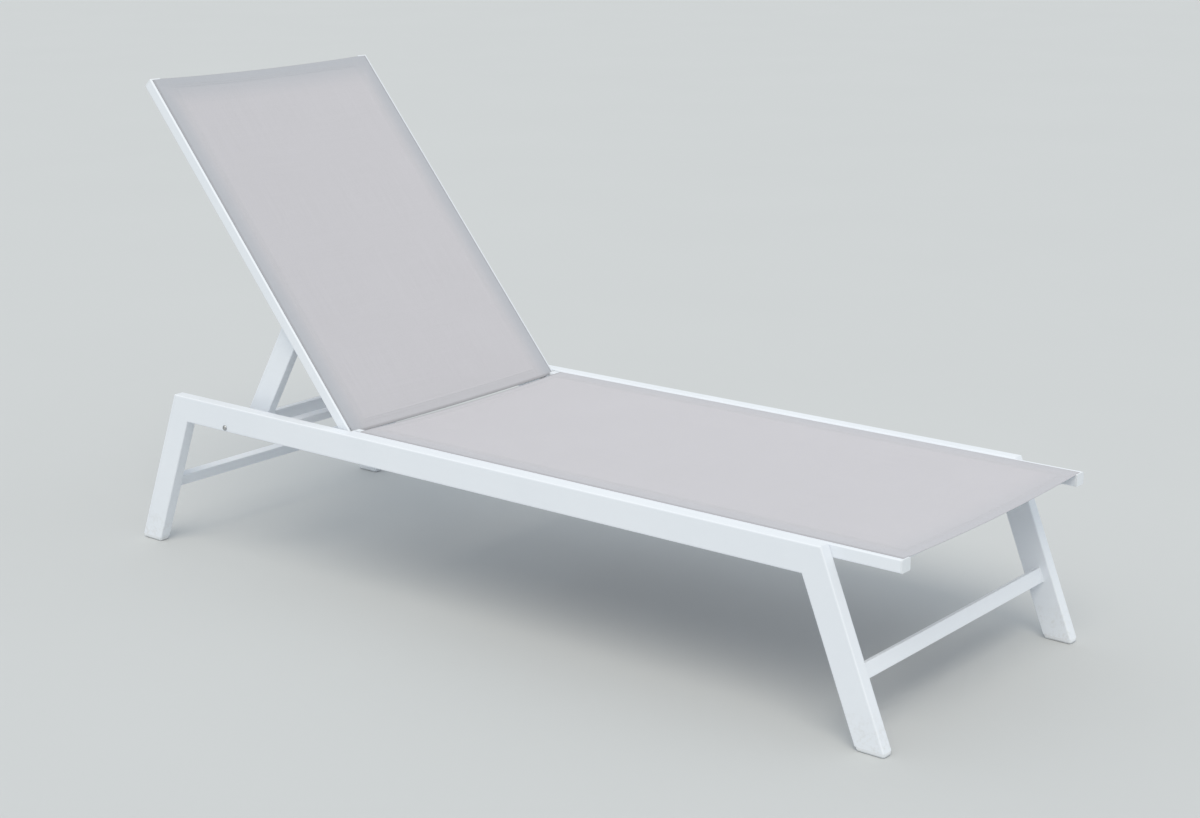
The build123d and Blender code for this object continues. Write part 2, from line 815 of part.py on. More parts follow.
def print_places():
    """Print the places that the joints and the feet follow."""
    prop_y, prop_z = back_point(prop_hinge_distance)
    print(f"back hinge y {back_hinge_y:.3f} z {rail_axis_z:.3f}")
    print(f"prop hinge y {prop_y:.3f} z {prop_z:.3f}, prop length {prop_length:.3f}")
    print(f"prop turns {prop_rate:.5f} degrees for each degree of the back")
    print(f"prop angle flat {prop_angle_flat:.3f}")
    for angle in notch_back_angles + (0.0,):
        y, z = peg_place(angle)
        print(f"back at {angle:.1f}: peg y {y:.2f} z {z:.2f}")
    for end_name, end in ENDS:
        inner_y, _ = leg_point(end, tube_height, 0)
        outer_y, _ = leg_point(end, 0, 0)
        print(f"{end_name} foot y {(inner_y + outer_y) / 2:.3f} x {half_width - tube_width / 2:.3f}")


os.makedirs("parts", exist_ok=True)
write_frame()
write_seat()
write_back()
write_prop()
print_places()
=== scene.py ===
import json
import math

import bpy
from mathutils import Matrix, Vector


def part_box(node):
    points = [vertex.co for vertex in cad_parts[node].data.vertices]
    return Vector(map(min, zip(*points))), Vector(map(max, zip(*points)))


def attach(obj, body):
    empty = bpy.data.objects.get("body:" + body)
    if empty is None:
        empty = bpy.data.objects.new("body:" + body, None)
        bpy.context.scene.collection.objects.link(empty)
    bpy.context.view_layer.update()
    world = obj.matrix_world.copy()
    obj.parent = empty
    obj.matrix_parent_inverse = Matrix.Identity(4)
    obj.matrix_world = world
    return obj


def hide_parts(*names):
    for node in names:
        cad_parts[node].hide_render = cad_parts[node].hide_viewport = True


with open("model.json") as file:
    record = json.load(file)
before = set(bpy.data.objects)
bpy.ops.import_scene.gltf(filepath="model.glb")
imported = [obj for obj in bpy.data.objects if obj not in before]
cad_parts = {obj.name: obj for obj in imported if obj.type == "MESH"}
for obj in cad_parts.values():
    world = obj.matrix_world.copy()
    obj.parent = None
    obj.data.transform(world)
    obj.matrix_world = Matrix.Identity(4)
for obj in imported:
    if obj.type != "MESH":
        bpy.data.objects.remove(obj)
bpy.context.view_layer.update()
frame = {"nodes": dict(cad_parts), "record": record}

# The photograph's camera, solved from the straight edges of the frame: metres, degrees and pixels
CAMERA_PLACE = (-2.99724, -2.52000, 1.40341)
CAMERA_AZIMUTH, CAMERA_ELEVATION, CAMERA_ROLL = -50.65, 15.01, -0.46
FOCAL_PIXELS, PHOTO_WIDTH = 2136.61, 1200
SENSOR_WIDTH = 36.0


def middle(name):
    """Middle of a node's box."""
    low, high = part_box(name)
    return (low + high) / 2


# Rails, grooves and hinges, read from the frame, in metres
rail_low, rail_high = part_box("seat_rail_right")
side_low, side_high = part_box("side_rail_right")
INNER_X = rail_high.x
RAIL_WIDTH = rail_high.x - rail_low.x
RAIL_DEPTH = rail_high.z - rail_low.z
RAIL_AXIS_Z = (rail_low.z + rail_high.z) / 2
SEAT_GROOVE_X = middle("seat_keder_right").x
GROOVE_V = middle("seat_keder_right").z - RAIL_AXIS_Z
BACK_OUTER_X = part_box("back_rail_right")[1].x
BACK_GROOVE_X = middle("back_keder_right").x
HINGE = middle("back_hinge_bolt_right")
HINGE.x = 0.0
prop_arm = middle("prop_hinge_bolt_right") - HINGE
BACK_ANGLE = math.atan2(prop_arm.z, prop_arm.y)
PROP_INNER_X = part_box("prop_leg_right")[0].x
TUBE_HEIGHT = side_high.z - side_low.z

# Lean of the legs: splay over height
LEG_LEAN = math.atan2(0.129, 0.326)

# Slings: cloth, the loops round their rods, hems and stitches, in metres
SLING_THICKNESS = 0.001
BEND_RADIUS = 0.001
LOOP_RADIUS = 0.003
LOOP_THICKNESS = 0.0009
LOOP_NECK = 0.0012
HEM_WIDTH = 0.025
HEM_THICKNESS = 0.0008
HEM_DROP = 0.00095
HEM_INSET = 0.0006
HEM_NOSE = 0.00098
HEM_CLEARANCE = 0.0001
STITCH_ROWS = (0.004, 0.009)
STITCH_PITCH = 0.0044
STITCH_MARGIN = 0.006
THREAD_RADIUS = 0.00028

# Tension ripples: height and reach in metres, then waves as (along, across, phase, share)
RIPPLE_HEIGHT, RIPPLE_START, RIPPLE_REACH = 0.00028, 0.012, 0.06
RIPPLE_WAVES = ((61.0, 9.0, 0.0, 1.0), (23.0, -17.0, 1.3, 0.6))

# Stations of one stitch: share of its pitch, height over the cloth, share of the thread's radius
STITCH_STATIONS = (
    (0.10, -0.0003, 0.6),
    (0.28, 0.00012, 1.0),
    (0.50, 0.00022, 1.05),
    (0.72, 0.00012, 1.0),
    (0.90, -0.0003, 0.6),
)

# Sections of the bars, and the weld beads round their ends and in the frame's corners, in metres
CROSSBAR, CROSSBAR_BEAD = (0.026, 0.015), 0.0017
SPREADER, SPREADER_BEAD = (0.026, 0.010), 0.0015
CORNER_BEAD, CORNER_REACH, CORNER_DROP = 0.0019, 0.0095, 0.0005
BEAD_SINK = 0.0002
BEAD_PITCH = 0.0021
BEAD_STEP = 0.0007


# Camera

def add_camera():
    """Camera of the photograph."""
    azimuth, elevation, roll = (
        math.radians(angle) for angle in (CAMERA_AZIMUTH, CAMERA_ELEVATION, CAMERA_ROLL)
    )
    back = Vector((
        math.sin(azimuth) * math.cos(elevation),
        -math.cos(azimuth) * math.cos(elevation),
        math.sin(elevation),
    ))
    right = (-back).cross(Vector((0, 0, 1))).normalized()
    up = right.cross(-back)
    turned_right = math.cos(roll) * right + math.sin(roll) * up
    turned_up = -math.sin(roll) * right + math.cos(roll) * up
    data = bpy.data.cameras.new("camera")
    data.sensor_width = SENSOR_WIDTH
    data.lens = FOCAL_PIXELS / PHOTO_WIDTH * SENSOR_WIDTH
    data.clip_start, data.clip_end = 0.05, 300.0
    camera = bpy.data.objects.new("camera", data)
    bpy.context.scene.collection.objects.link(camera)
    turn = Matrix((turned_right, turned_up, back)).transposed().to_4x4()
    camera.matrix_world = Matrix.Translation(CAMERA_PLACE) @ turn
    bpy.context.scene.camera = camera


# Node helpers

def new_material(name):
    """Material with its principled shader, as (material, nodes, shader)."""
    material = bpy.data.materials.new(name)
    material.use_nodes = True
    return material, material.node_tree.nodes, material.node_tree.nodes["Principled BSDF"]


def rgba(colour, share=1.0):
    """Opaque colour, times a share."""
    return tuple(share * channel for channel in colour) + (1,)


def plug(socket, value):
    """Set a socket, or link it to another node's output."""
    if isinstance(value, bpy.types.NodeSocket):
        socket.id_data.links.new(value, socket)
    else:
        socket.default_value = value


def node(nodes, kind, inputs=(), **settings):
    """New shader node. Inputs are (socket, value or other node's output)."""
    made = nodes.new(kind)
    for name, value in settings.items():
        setattr(made, name, value)
    for socket, value in inputs:
        plug(made.inputs[socket], value)
    return made


def object_place(nodes):
    """Place on the object, in metres."""
    return node(nodes, "ShaderNodeTexCoord").outputs["Object"]


def math_node(nodes, operation, first, second=0.0, third=0.0):
    """Output of a math node."""
    inputs = ((0, first), (1, second), (2, third))
    return node(nodes, "ShaderNodeMath", inputs, operation=operation).outputs[0]


def times(nodes, first, second):
    """Product of two values."""
    return math_node(nodes, "MULTIPLY", first, second)


def absolute(nodes, value):
    """Value without its sign."""
    return math_node(nodes, "ABSOLUTE", value)


def ramp_between(nodes, value, low, high, to_low=0.0, to_high=1.0):
    """Value mapped smoothly from low..high to to_low..to_high."""
    inputs = (
        ("Value", value), ("From Min", low), ("From Max", high), ("To Min", to_low), ("To Max", to_high)
    )
    made = node(nodes, "ShaderNodeMapRange", inputs, interpolation_type="SMOOTHSTEP")
    return made.outputs["Result"]


def noise(nodes, place, scale, detail=2.0, roughness=0.5):
    """Output of a noise texture at a scale in features per metre."""
    inputs = (("Vector", place), ("Scale", scale), ("Detail", detail), ("Roughness", roughness))
    return node(nodes, "ShaderNodeTexNoise", inputs).outputs["Fac"]


def mixed(nodes, share, first, second):
    """Colour between two colours."""
    made = node(nodes, "ShaderNodeMix", data_type="RGBA")
    plug(made.inputs["Factor"], share)
    plug(made.inputs["A"], first)
    plug(made.inputs["B"], second)
    return made.outputs["Result"]


def stretched(nodes, place, scale):
    """Place with each axis multiplied."""
    return node(nodes, "ShaderNodeMapping", (("Vector", place), ("Scale", scale))).outputs["Vector"]


def bump(nodes, height, distance, strength=1.0, below=None):
    """Normal from a height in units of distance."""
    inputs = (("Height", height), ("Distance", distance), ("Strength", strength))
    made = node(nodes, "ShaderNodeBump", inputs)
    if below is not None:
        plug(made.inputs["Normal"], below)
    return made.outputs["Normal"]


# Materials

def coat_material():
    """White powder coat: orange peel, faint cloudiness, and a little dust low on the legs."""
    material, nodes, shader = new_material("white_powder_coat")
    place = object_place(nodes)
    cloud = noise(nodes, place, 5.0, 4.0, 0.6)
    peel = noise(nodes, place, 520.0, 2.0, 0.5)
    grain = noise(nodes, place, 2400.0, 1.0, 0.5)
    height = node(nodes, "ShaderNodeSeparateXYZ", ((0, place),)).outputs["Z"]
    low = ramp_between(nodes, height, 0.10, 0.0)
    spots = ramp_between(nodes, noise(nodes, place, 85.0, 5.0, 0.7), 0.46, 0.72)
    dust = times(nodes, times(nodes, low, spots), 0.35)
    patches = ramp_between(nodes, cloud, 0.3, 0.7)
    clean = mixed(nodes, patches, (0.822, 0.858, 0.904, 1), (0.842, 0.875, 0.918, 1))
    plug(shader.inputs["Base Color"], mixed(nodes, dust, clean, (0.56, 0.545, 0.50, 1)))
    plug(shader.inputs["Roughness"], ramp_between(nodes, cloud, 0.25, 0.75, 0.34, 0.46))
    shader.inputs["Specular IOR Level"].default_value = 0.45
    fine = bump(nodes, grain, 0.00002, 0.6)
    plug(shader.inputs["Normal"], bump(nodes, peel, 0.00009, 0.8, fine))
    return material


def woven_height(nodes, across, along, warp_pitch=0.00127, weft_pitch=0.0018):
    """Height of a plain weave, from 0 in its gaps to 1 on its yarns."""
    warp = math_node(nodes, "SINE", times(nodes, across, math.pi / warp_pitch))
    weft = math_node(nodes, "SINE", times(nodes, along, math.pi / weft_pitch))
    over = math_node(nodes, "GREATER_THAN", times(nodes, warp, weft), 0.0)
    under = math_node(nodes, "SUBTRACT", 1.0, over)
    warp_part = times(nodes, absolute(nodes, warp), over)
    weft_part = times(nodes, absolute(nodes, weft), under)
    return math_node(nodes, "ADD", warp_part, weft_part)


def cloth_material(name, length, half_width, groove_x, tint, painted_edge_shade_share, free_end):
    """Coated-yarn mesh: weave, tone streaks along the yarns, a slightly darker band over the hems, and
    painted shade towards its sides, free end, grooves and hinged end.
    """
    material, nodes, shader = new_material(name)
    cut = node(nodes, "ShaderNodeUVMap", uv_map="cut").outputs[0]
    parts = node(nodes, "ShaderNodeSeparateXYZ", ((0, cut),))
    across, along = parts.outputs["X"], parts.outputs["Y"]
    flat = node(nodes, "ShaderNodeCombineXYZ", ((0, across), (1, along))).outputs[0]
    weave = woven_height(nodes, across, along)

    streak = noise(nodes, stretched(nodes, flat, (420.0, 5.0, 1.0)), 1.0, 3.0, 0.6)
    cross_streak = noise(nodes, stretched(nodes, flat, (5.0, 300.0, 1.0)), 1.0, 2.0, 0.6)
    cloud = noise(nodes, flat, 6.0, 3.0, 0.5)
    tone = math_node(nodes, "MULTIPLY_ADD", streak, 0.5, times(nodes, cross_streak, 0.3))
    tone = math_node(nodes, "MULTIPLY_ADD", cloud, 0.2, tone)
    yarn = mixed(nodes, ramp_between(nodes, tone, 0.35, 0.65), rgba(tint, 0.975), rgba(tint, 1.02))
    gap = ramp_between(nodes, weave, 0.0, 0.55, 0.30, 0.0)
    plain = mixed(nodes, gap, yarn, rgba(tint, 0.35))

    from_middle = absolute(nodes, across)
    side = ramp_between(nodes, from_middle, half_width - 0.003, half_width)
    left = math_node(nodes, "SUBTRACT", length, along)
    near_end = math_node(nodes, "MINIMUM", along, left)
    end = ramp_between(nodes, near_end, HEM_WIDTH, HEM_WIDTH - 0.003)
    hem = math_node(nodes, "MAXIMUM", side, end)
    # Painted shade: the cloth darkens towards the rails and its free end, standing in for shade there,
    # in a cool shadow tone that also darkens the hems a little
    near_side = math_node(nodes, "SUBTRACT", groove_x, from_middle)
    free, hinged = (along, left) if free_end == "start" else (left, along)
    near_edge = math_node(nodes, "MINIMUM", near_side, times(nodes, free, 0.6))
    fade = ramp_between(nodes, near_edge, 0.004, HEM_WIDTH + 0.020, painted_edge_shade_share, 0.0)
    shade = math_node(nodes, "MULTIPLY_ADD", hem, 0.06, fade)
    hem_and_shade_colour = rgba(share * channel for share, channel in zip((0.55, 0.66, 0.71), tint))
    shaded = mixed(nodes, shade, plain, hem_and_shade_colour)

    # Painted shade where the cloth bends down into the grooves
    groove_painted_shade = ramp_between(nodes, from_middle, groove_x - 0.005, groove_x - 0.001, 0.0, 0.35)
    # Painted shadow: a thin dark line at the hinged end, where the shadow gap between the slings would
    # be
    hinge_painted_shadow = ramp_between(nodes, hinged, 0.0015, 0.0055, 0.5, 0.0)
    with_painted_shade = mixed(nodes, math_node(nodes, "MAXIMUM", groove_painted_shade, hinge_painted_shadow), shaded, rgba(tint, 0.5))
    plug(shader.inputs["Base Color"], with_painted_shade)
    plug(shader.inputs["Roughness"], ramp_between(nodes, weave, 0.0, 1.0, 0.72, 0.52))
    shader.inputs["Specular IOR Level"].default_value = 0.35
    shader.inputs["Sheen Weight"].default_value = 0.14
    shader.inputs["Sheen Roughness"].default_value = 0.5
    step = bump(nodes, hem, 0.0003, 1.0)
    plug(shader.inputs["Normal"], bump(nodes, weave, 0.00022, 0.55, step))
    return material


def sewing_material():
    """Light grey polyester thread with a fine twist."""
    material, nodes, shader = new_material("sewing_thread")
    twist = noise(nodes, object_place(nodes), 2600.0, 2.0, 0.6)
    plug(shader.inputs["Base Color"], mixed(nodes, twist, (0.50, 0.495, 0.50, 1), (0.72, 0.71, 0.72, 1)))
    shader.inputs["Roughness"].default_value = 0.7
    plug(shader.inputs["Normal"], bump(nodes, twist, 0.00008, 0.8))
    return material


def plastic_material(name, colour, roughness):
    """Moulded plastic: fine spark-eroded grain and slight flow marks."""
    material, nodes, shader = new_material(name)
    place = object_place(nodes)
    grain = noise(nodes, place, 1500.0, 3.0, 0.7)
    flow = noise(nodes, stretched(nodes, place, (1.0, 3.0, 1.0)), 22.0, 3.0, 0.6)
    tint = mixed(nodes, ramp_between(nodes, flow, 0.3, 0.7), rgba(colour, 0.95), rgba(colour))
    plug(shader.inputs["Base Color"], tint)
    rough = ramp_between(nodes, grain, 0.3, 0.7, roughness - 0.06, roughness + 0.08)
    plug(shader.inputs["Roughness"], rough)
    shader.inputs["Specular IOR Level"].default_value = 0.4
    plug(shader.inputs["Normal"], bump(nodes, grain, 0.00004, 0.7))
    return material


def steel_material(name, colour):
    """Zinc-plated steel: turned marks, patchy plating and dull spots."""
    material, nodes, shader = new_material(name)
    place = object_place(nodes)
    marks = noise(nodes, stretched(nodes, place, (1.0, 9.0, 9.0)), 320.0, 3.0, 0.6)
    patches = noise(nodes, place, 140.0, 4.0, 0.6)
    tint = mixed(nodes, ramp_between(nodes, patches, 0.35, 0.7), rgba(colour), rgba(colour, 0.72))
    plug(shader.inputs["Base Color"], tint)
    shader.inputs["Metallic"].default_value = 1.0
    plug(shader.inputs["Roughness"], ramp_between(nodes, patches, 0.3, 0.7, 0.28, 0.48))
    plug(shader.inputs["Normal"], bump(nodes, marks, 0.00003, 0.6))
    return material


def floor_material():
    """Plain pale studio floor with a very faint mottle."""
    material, nodes, shader = new_material("studio_floor")
    cloud = noise(nodes, object_place(nodes), 1.2, 3.0, 0.5)
    colour = mixed(nodes, cloud, (0.590, 0.605, 0.605, 1), (0.606, 0.621, 0.621, 1))
    plug(shader.inputs["Base Color"], colour)
    shader.inputs["Roughness"].default_value = 0.9
    shader.inputs["Specular IOR Level"].default_value = 0.15
    return material


def dress_nodes(coat):
    """Give each rigid node the material of its slot."""
    materials = {
        "frame_coat": coat,
        "foot_plastic": plastic_material("white_foot_plastic", (0.80, 0.825, 0.85), 0.5),
        "cap_plastic": plastic_material("white_cap_plastic", (0.81, 0.84, 0.87), 0.46),
        "keder_plastic": plastic_material("grey_keder_plastic", (0.55, 0.55, 0.56), 0.5),
        "bush_plastic": plastic_material("natural_bush_plastic", (0.70, 0.69, 0.66), 0.42),
        "steel_hardware": steel_material("plated_steel", (0.60, 0.61, 0.62)),
    }
    for row in frame["record"]["subparts"]:
        shown = frame["nodes"][row["node"]]
        if row["material_slot"] in materials:
            shown.data.materials.clear()
            shown.data.materials.append(materials[row["material_slot"]])


# Mesh helpers

def steps(low, high, count):
    """Evenly spaced values from low to high, both included."""
    return [low + (high - low) * i / count for i in range(count + 1)]


def circle(centre, first, second, radius, count):
    """Points of a circle in the plane of two directions."""
    turns = (2 * math.pi * i / count for i in range(count))
    return [centre + (first * math.cos(t) + second * math.sin(t)) * radius for t in turns]


class Shape:
    """Points, faces and flat-cut coordinates of a mesh under construction."""

    def __init__(self):
        self.points, self.faces, self.cut = [], [], []

    def strip(self, rows, thickness):
        """Solid sheet of a thickness round a grid of (point, normal, cut coordinate)."""
        tall, wide = len(rows), len(rows[0])
        base = len(self.points)
        for sign in (1, -1):
            for row in rows:
                for point, normal, flat in row:
                    self.points.append(point + normal * (sign * thickness / 2))
                    self.cut.append(flat)

        def at(layer, j, i):
            return base + (layer * tall + j) * wide + i

        for j in range(tall - 1):
            for i in range(wide - 1):
                top = (at(0, j, i), at(0, j, i + 1), at(0, j + 1, i + 1), at(0, j + 1, i))
                under = (at(1, j, i), at(1, j + 1, i), at(1, j + 1, i + 1), at(1, j, i + 1))
                self.faces += [top, under]
            for i, flip in ((0, False), (wide - 1, True)):
                rim = (at(0, j, i), at(0, j + 1, i), at(1, j + 1, i), at(1, j, i))
                self.faces.append(rim[::-1] if flip else rim)
        for i in range(wide - 1):
            for j, flip in ((0, False), (tall - 1, True)):
                rim = (at(0, j, i + 1), at(0, j, i), at(1, j, i), at(1, j, i + 1))
                self.faces.append(rim[::-1] if flip else rim)

    def rings(self, rings, closed=False, cuts=None):
        """Skin over rings of points, capped at both ends unless it closes on itself."""
        base, size = len(self.points), len(rings[0])
        for j, ring in enumerate(rings):
            for i, point in enumerate(ring):
                self.points.append(point)
                self.cut.append(cuts[j][i] if cuts else (0.0, 0.0))
        spans = len(rings) if closed else len(rings) - 1
        for j in range(spans):
            low, high = base + j * size, base + (j + 1) % len(rings) * size
            for i in range(size):
                k = (i + 1) % size
                self.faces.append((low + i, low + k, high + k, high + i))
        if not closed:
            self.faces.append(tuple(base + i for i in reversed(range(size))))
            self.faces.append(tuple(base + (len(rings) - 1) * size + i for i in range(size)))

    def make(self, name, material, body, slot, smooth=40.0):
        """Object that rides on a body."""
        mesh = bpy.data.meshes.new(name)
        mesh.from_pydata([tuple(p) for p in self.points], [], self.faces)
        layer = mesh.uv_layers.new(name="cut")
        for loop in mesh.loops:
            layer.data[loop.index].uv = self.cut[loop.vertex_index]
        mesh.materials.append(material)
        made = bpy.data.objects.new(name, mesh)
        bpy.context.scene.collection.objects.link(made)
        for face in mesh.polygons:
            face.use_smooth = True
        mesh.set_sharp_from_angle(angle=math.radians(smooth))
        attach(made, body)
        return made


def seat_place(x, along, up):
    """Point of the seat: along is Y, and up is counted from the axis of the sling rails."""
    return Vector((x, along, RAIL_AXIS_Z + up))


def back_place(x, along, up):
    """Point of the back at rest: along runs from its hinge, and up is towards the sitter."""
    c, s = math.cos(BACK_ANGLE), math.sin(BACK_ANGLE)
    return Vector((x, HINGE.y + along * c - up * s, HINGE.z + along * s + up * c))


# Slings

class Sling:
    """Sheet stretched between two rails from start to stop, with loops round the rods in their grooves.

    The loops begin at loop_start. The remaining arguments go to cloth_material.
    """

    def __init__(self, name, body, place, outer_x, groove_x, sag, start, stop, loop_start, **look):
        self.name, self.body, self.place = name, body, place
        self.groove_x, self.sag = groove_x, sag
        self.start, self.stop, self.loop_start = start, stop, loop_start
        self.alongs = steps(start, stop, 150)
        self.edge_x = outer_x - RAIL_WIDTH
        self.top = RAIL_DEPTH / 2 + SLING_THICKNESS / 2
        self.material = cloth_material(
            name + "_cloth", stop - start, self.edge_x - HEM_WIDTH, groove_x, **look
        )

    def direction(self, x, along, up):
        """Direction in the sling's own axes, as one of the frame's."""
        return (self.place(x, along, up) - self.place(0, 0, 0)).normalized()

    def level(self, x, along):
        """Height of the middle of the sheet, with faint tension ripples beside the rails."""
        share = min(1.0, abs(x) / self.edge_x)
        curve = self.top - self.sag * (1.0 - share * share)
        inside = max(0.0, self.edge_x - abs(x))
        fade = min(1.0, inside / RIPPLE_START) * math.exp(-inside / RIPPLE_REACH)
        ripple = sum(
            part * math.sin(along * length_wave + x * cross_wave + phase)
            for length_wave, cross_wave, phase, part in RIPPLE_WAVES
        )
        return curve + RIPPLE_HEIGHT * fade * ripple

    def normal(self, x, along):
        """Direction square to the sheet."""
        step = 0.0005
        slope = (self.level(x + step, along) - self.level(x - step, along)) / (2 * step)
        tilt = (self.level(x, along + step) - self.level(x, along - step)) / (2 * step)
        return self.direction(*Vector((-slope, -tilt, 1.0)).normalized())

    def surface(self, xs, alongs, shift=0.0):
        """Grid of the sheet's middle, moved square to it."""
        rows = []
        for along in alongs:
            row = []
            for x in xs:
                normal = self.normal(x, along)
                point = self.place(x, along, self.level(x, along)) + normal * shift
                row.append((point, normal, (x, along - self.start)))
            rows.append(row)
        return rows

    def loop_outline(self):
        """Bend into the groove and loop round the rod, as (x, up, lean of the normal)."""
        outline = []
        for turn in steps(0.0, math.pi / 2, 4):
            x = self.groove_x - BEND_RADIUS + BEND_RADIUS * math.sin(turn)
            outline.append((x, self.top - BEND_RADIUS + BEND_RADIUS * math.cos(turn), turn))
        outline.append((self.groove_x, GROOVE_V + LOOP_RADIUS + LOOP_NECK, math.pi / 2))
        for turn in steps(math.radians(70), math.radians(-240), 24):
            x = self.groove_x + LOOP_RADIUS * math.cos(turn)
            outline.append((x, GROOVE_V + LOOP_RADIUS * math.sin(turn), math.pi / 2 - turn))
        return outline

    def loop(self, side, alongs):
        """Grid of the loop at one side."""
        outline = self.loop_outline()
        rows = []
        for along in alongs:
            row = []
            width = self.groove_x - BEND_RADIUS
            last = outline[0]
            for x, up, lean in outline:
                width += math.hypot(x - last[0], up - last[1])
                last = (x, up)
                normal = self.direction(side * math.sin(lean), 0, math.cos(lean))
                row.append((self.place(side * x, along, up), normal, (side * width, along - self.start)))
            rows.append(row if side > 0 else row[::-1])
        return rows

    def make_cloth(self):
        """The sheet with its two loops."""
        rail_xs = steps(self.edge_x, self.groove_x - BEND_RADIUS, 6)[1:]
        xs = [-x for x in reversed(rail_xs)] + steps(-self.edge_x, self.edge_x, 96) + rail_xs
        cloth = Shape()
        cloth.strip(self.surface(xs, self.alongs), SLING_THICKNESS)
        for side in (-1, 1):
            cloth.strip(self.loop(side, steps(self.loop_start, self.stop, 60)), LOOP_THICKNESS)
        return cloth.make(self.name + "_cloth", self.material, self.body, "sling_fabric")

    def make_hems(self):
        """Doubled strips under the sides, and folded ends."""
        hems = Shape()
        inner = self.edge_x - HEM_INSET
        for side in (-1, 1):
            xs = steps(*sorted((side * inner, side * (inner - HEM_WIDTH))), 8)
            hems.strip(self.surface(xs, self.alongs, -HEM_DROP), HEM_THICKNESS)
        for end, sign in ((self.start, 1), (self.stop, -1)):
            self.end_hem(hems, end, sign, inner)
        return hems.make(self.name + "_hems", self.material, self.body, "sling_fabric")

    def end_hem(self, shape, end, sign, inner):
        """Folded end of the sheet: a rounded nose and a strip under it."""
        nose = steps(math.pi / 2, 3 * math.pi / 2, 8)
        outline = [(math.cos(turn) * HEM_NOSE, math.sin(turn) * HEM_NOSE) for turn in nose]
        outline += [(HEM_WIDTH, -HEM_NOSE), (HEM_WIDTH, -HEM_CLEARANCE), (0.0, -HEM_CLEARANCE)]
        rings, cuts = [], []
        for x in steps(-inner, inner, 72):
            ring, cut = [], []
            for out, up in outline:
                along = end + sign * out
                normal = self.normal(x, min(max(along, self.start), self.stop))
                core = self.place(x, along, self.level(x, along) - SLING_THICKNESS / 2)
                ring.append(core + normal * up)
                cut.append((x, abs(out)))
            rings.append(ring if sign > 0 else ring[::-1])
            cuts.append(cut if sign > 0 else cut[::-1])
        shape.rings(rings, cuts=cuts)

    def make_threads(self):
        """Two rows of stitches along each side and each end."""
        threads = Shape()
        hem_x = self.edge_x - HEM_WIDTH
        count = int((self.stop - self.start) / STITCH_PITCH)
        sides = steps(self.start + STITCH_MARGIN, self.stop - STITCH_MARGIN, count)
        ends = steps(-hem_x, hem_x, int(2 * hem_x / STITCH_PITCH))
        for row in STITCH_ROWS:
            for side in (-1, 1):
                self.stitches(threads, [(side * (hem_x + row), along) for along in sides])
            for end, sign in ((self.start, 1), (self.stop, -1)):
                self.stitches(threads, [(x, end + sign * (HEM_WIDTH - row)) for x in ends])
        return threads.make(self.name + "_stitching", thread_material, self.body, "sling_fabric")

    def stitches(self, shape, places):
        """Thread stitches that dip into the cloth between neighbouring places."""
        for (x0, a0), (x1, a1) in zip(places, places[1:]):
            run = (self.place(x1, a1, 0) - self.place(x0, a0, 0)).normalized()
            rings = []
            for share, lift, size in STITCH_STATIONS:
                x, along = x0 + (x1 - x0) * share, a0 + (a1 - a0) * share
                normal = self.normal(x, along)
                centre = self.place(x, along, self.level(x, along))
                centre += normal * (SLING_THICKNESS / 2 + lift)
                aside = run.cross(normal).normalized()
                rings.append(circle(centre, aside, normal, THREAD_RADIUS * size, 6))
            shape.rings(rings)

    def build(self):
        """Cloth, hem strips and stitching, in place of the sling's node, which is hidden."""
        sheet = self.make_cloth()
        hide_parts(self.name)
        hem = self.make_hems()
        thread = self.make_threads()


# Weld beads

def bead(shape, line, radius, closed=True):
    """Rippled weld bead along a line of points."""
    points = []
    for a, b in zip(line, line[1:] + line[:1] if closed else line[1:]):
        count = max(2, round((b - a).length / BEAD_STEP))
        points += [a.lerp(b, i / count) for i in range(count)]
    if not closed:
        points.append(line[-1])
    rings, gone = [], 0.0
    first, last = None, len(points) - 1
    for i, point in enumerate(points):
        before = points[i - 1] if closed or i else point
        after = points[(i + 1) % len(points)] if closed or i < last else point
        run = (after - before).normalized()
        if i:
            gone += (point - points[i - 1]).length
        if first is None:
            first = run.orthogonal()
        first = (first - run * first.dot(run)).normalized()
        size = radius * (1.0 + 0.10 * math.sin(gone * 2 * math.pi / BEAD_PITCH))
        if not closed:
            size *= min(1.0, 0.35 + 0.65 * min(i, last - i) / 4)
        rings.append(circle(point, first, run.cross(first), size, 8))
    shape.rings(rings, closed=closed)


def bar_outline(centre, long_way, short_way, section, corner=0.0015):
    """Rounded rectangle of a bar's section, as a closed line."""
    long_size, short_size = section
    line = []
    for sx, sy, start in ((1, 1, 0), (-1, 1, 90), (-1, -1, 180), (1, -1, 270)):
        for i in range(5):
            turn = math.radians(start + 90 * i / 4)
            along = sx * (long_size / 2 - corner) + corner * math.cos(turn)
            across = sy * (short_size / 2 - corner) + corner * math.sin(turn)
            line.append(centre + long_way * along + short_way * across)
    return line


def leaning(angle):
    """Directions up a leg and square to it."""
    return Vector((0, -math.sin(angle), math.cos(angle))), Vector((0, math.cos(angle), math.sin(angle)))


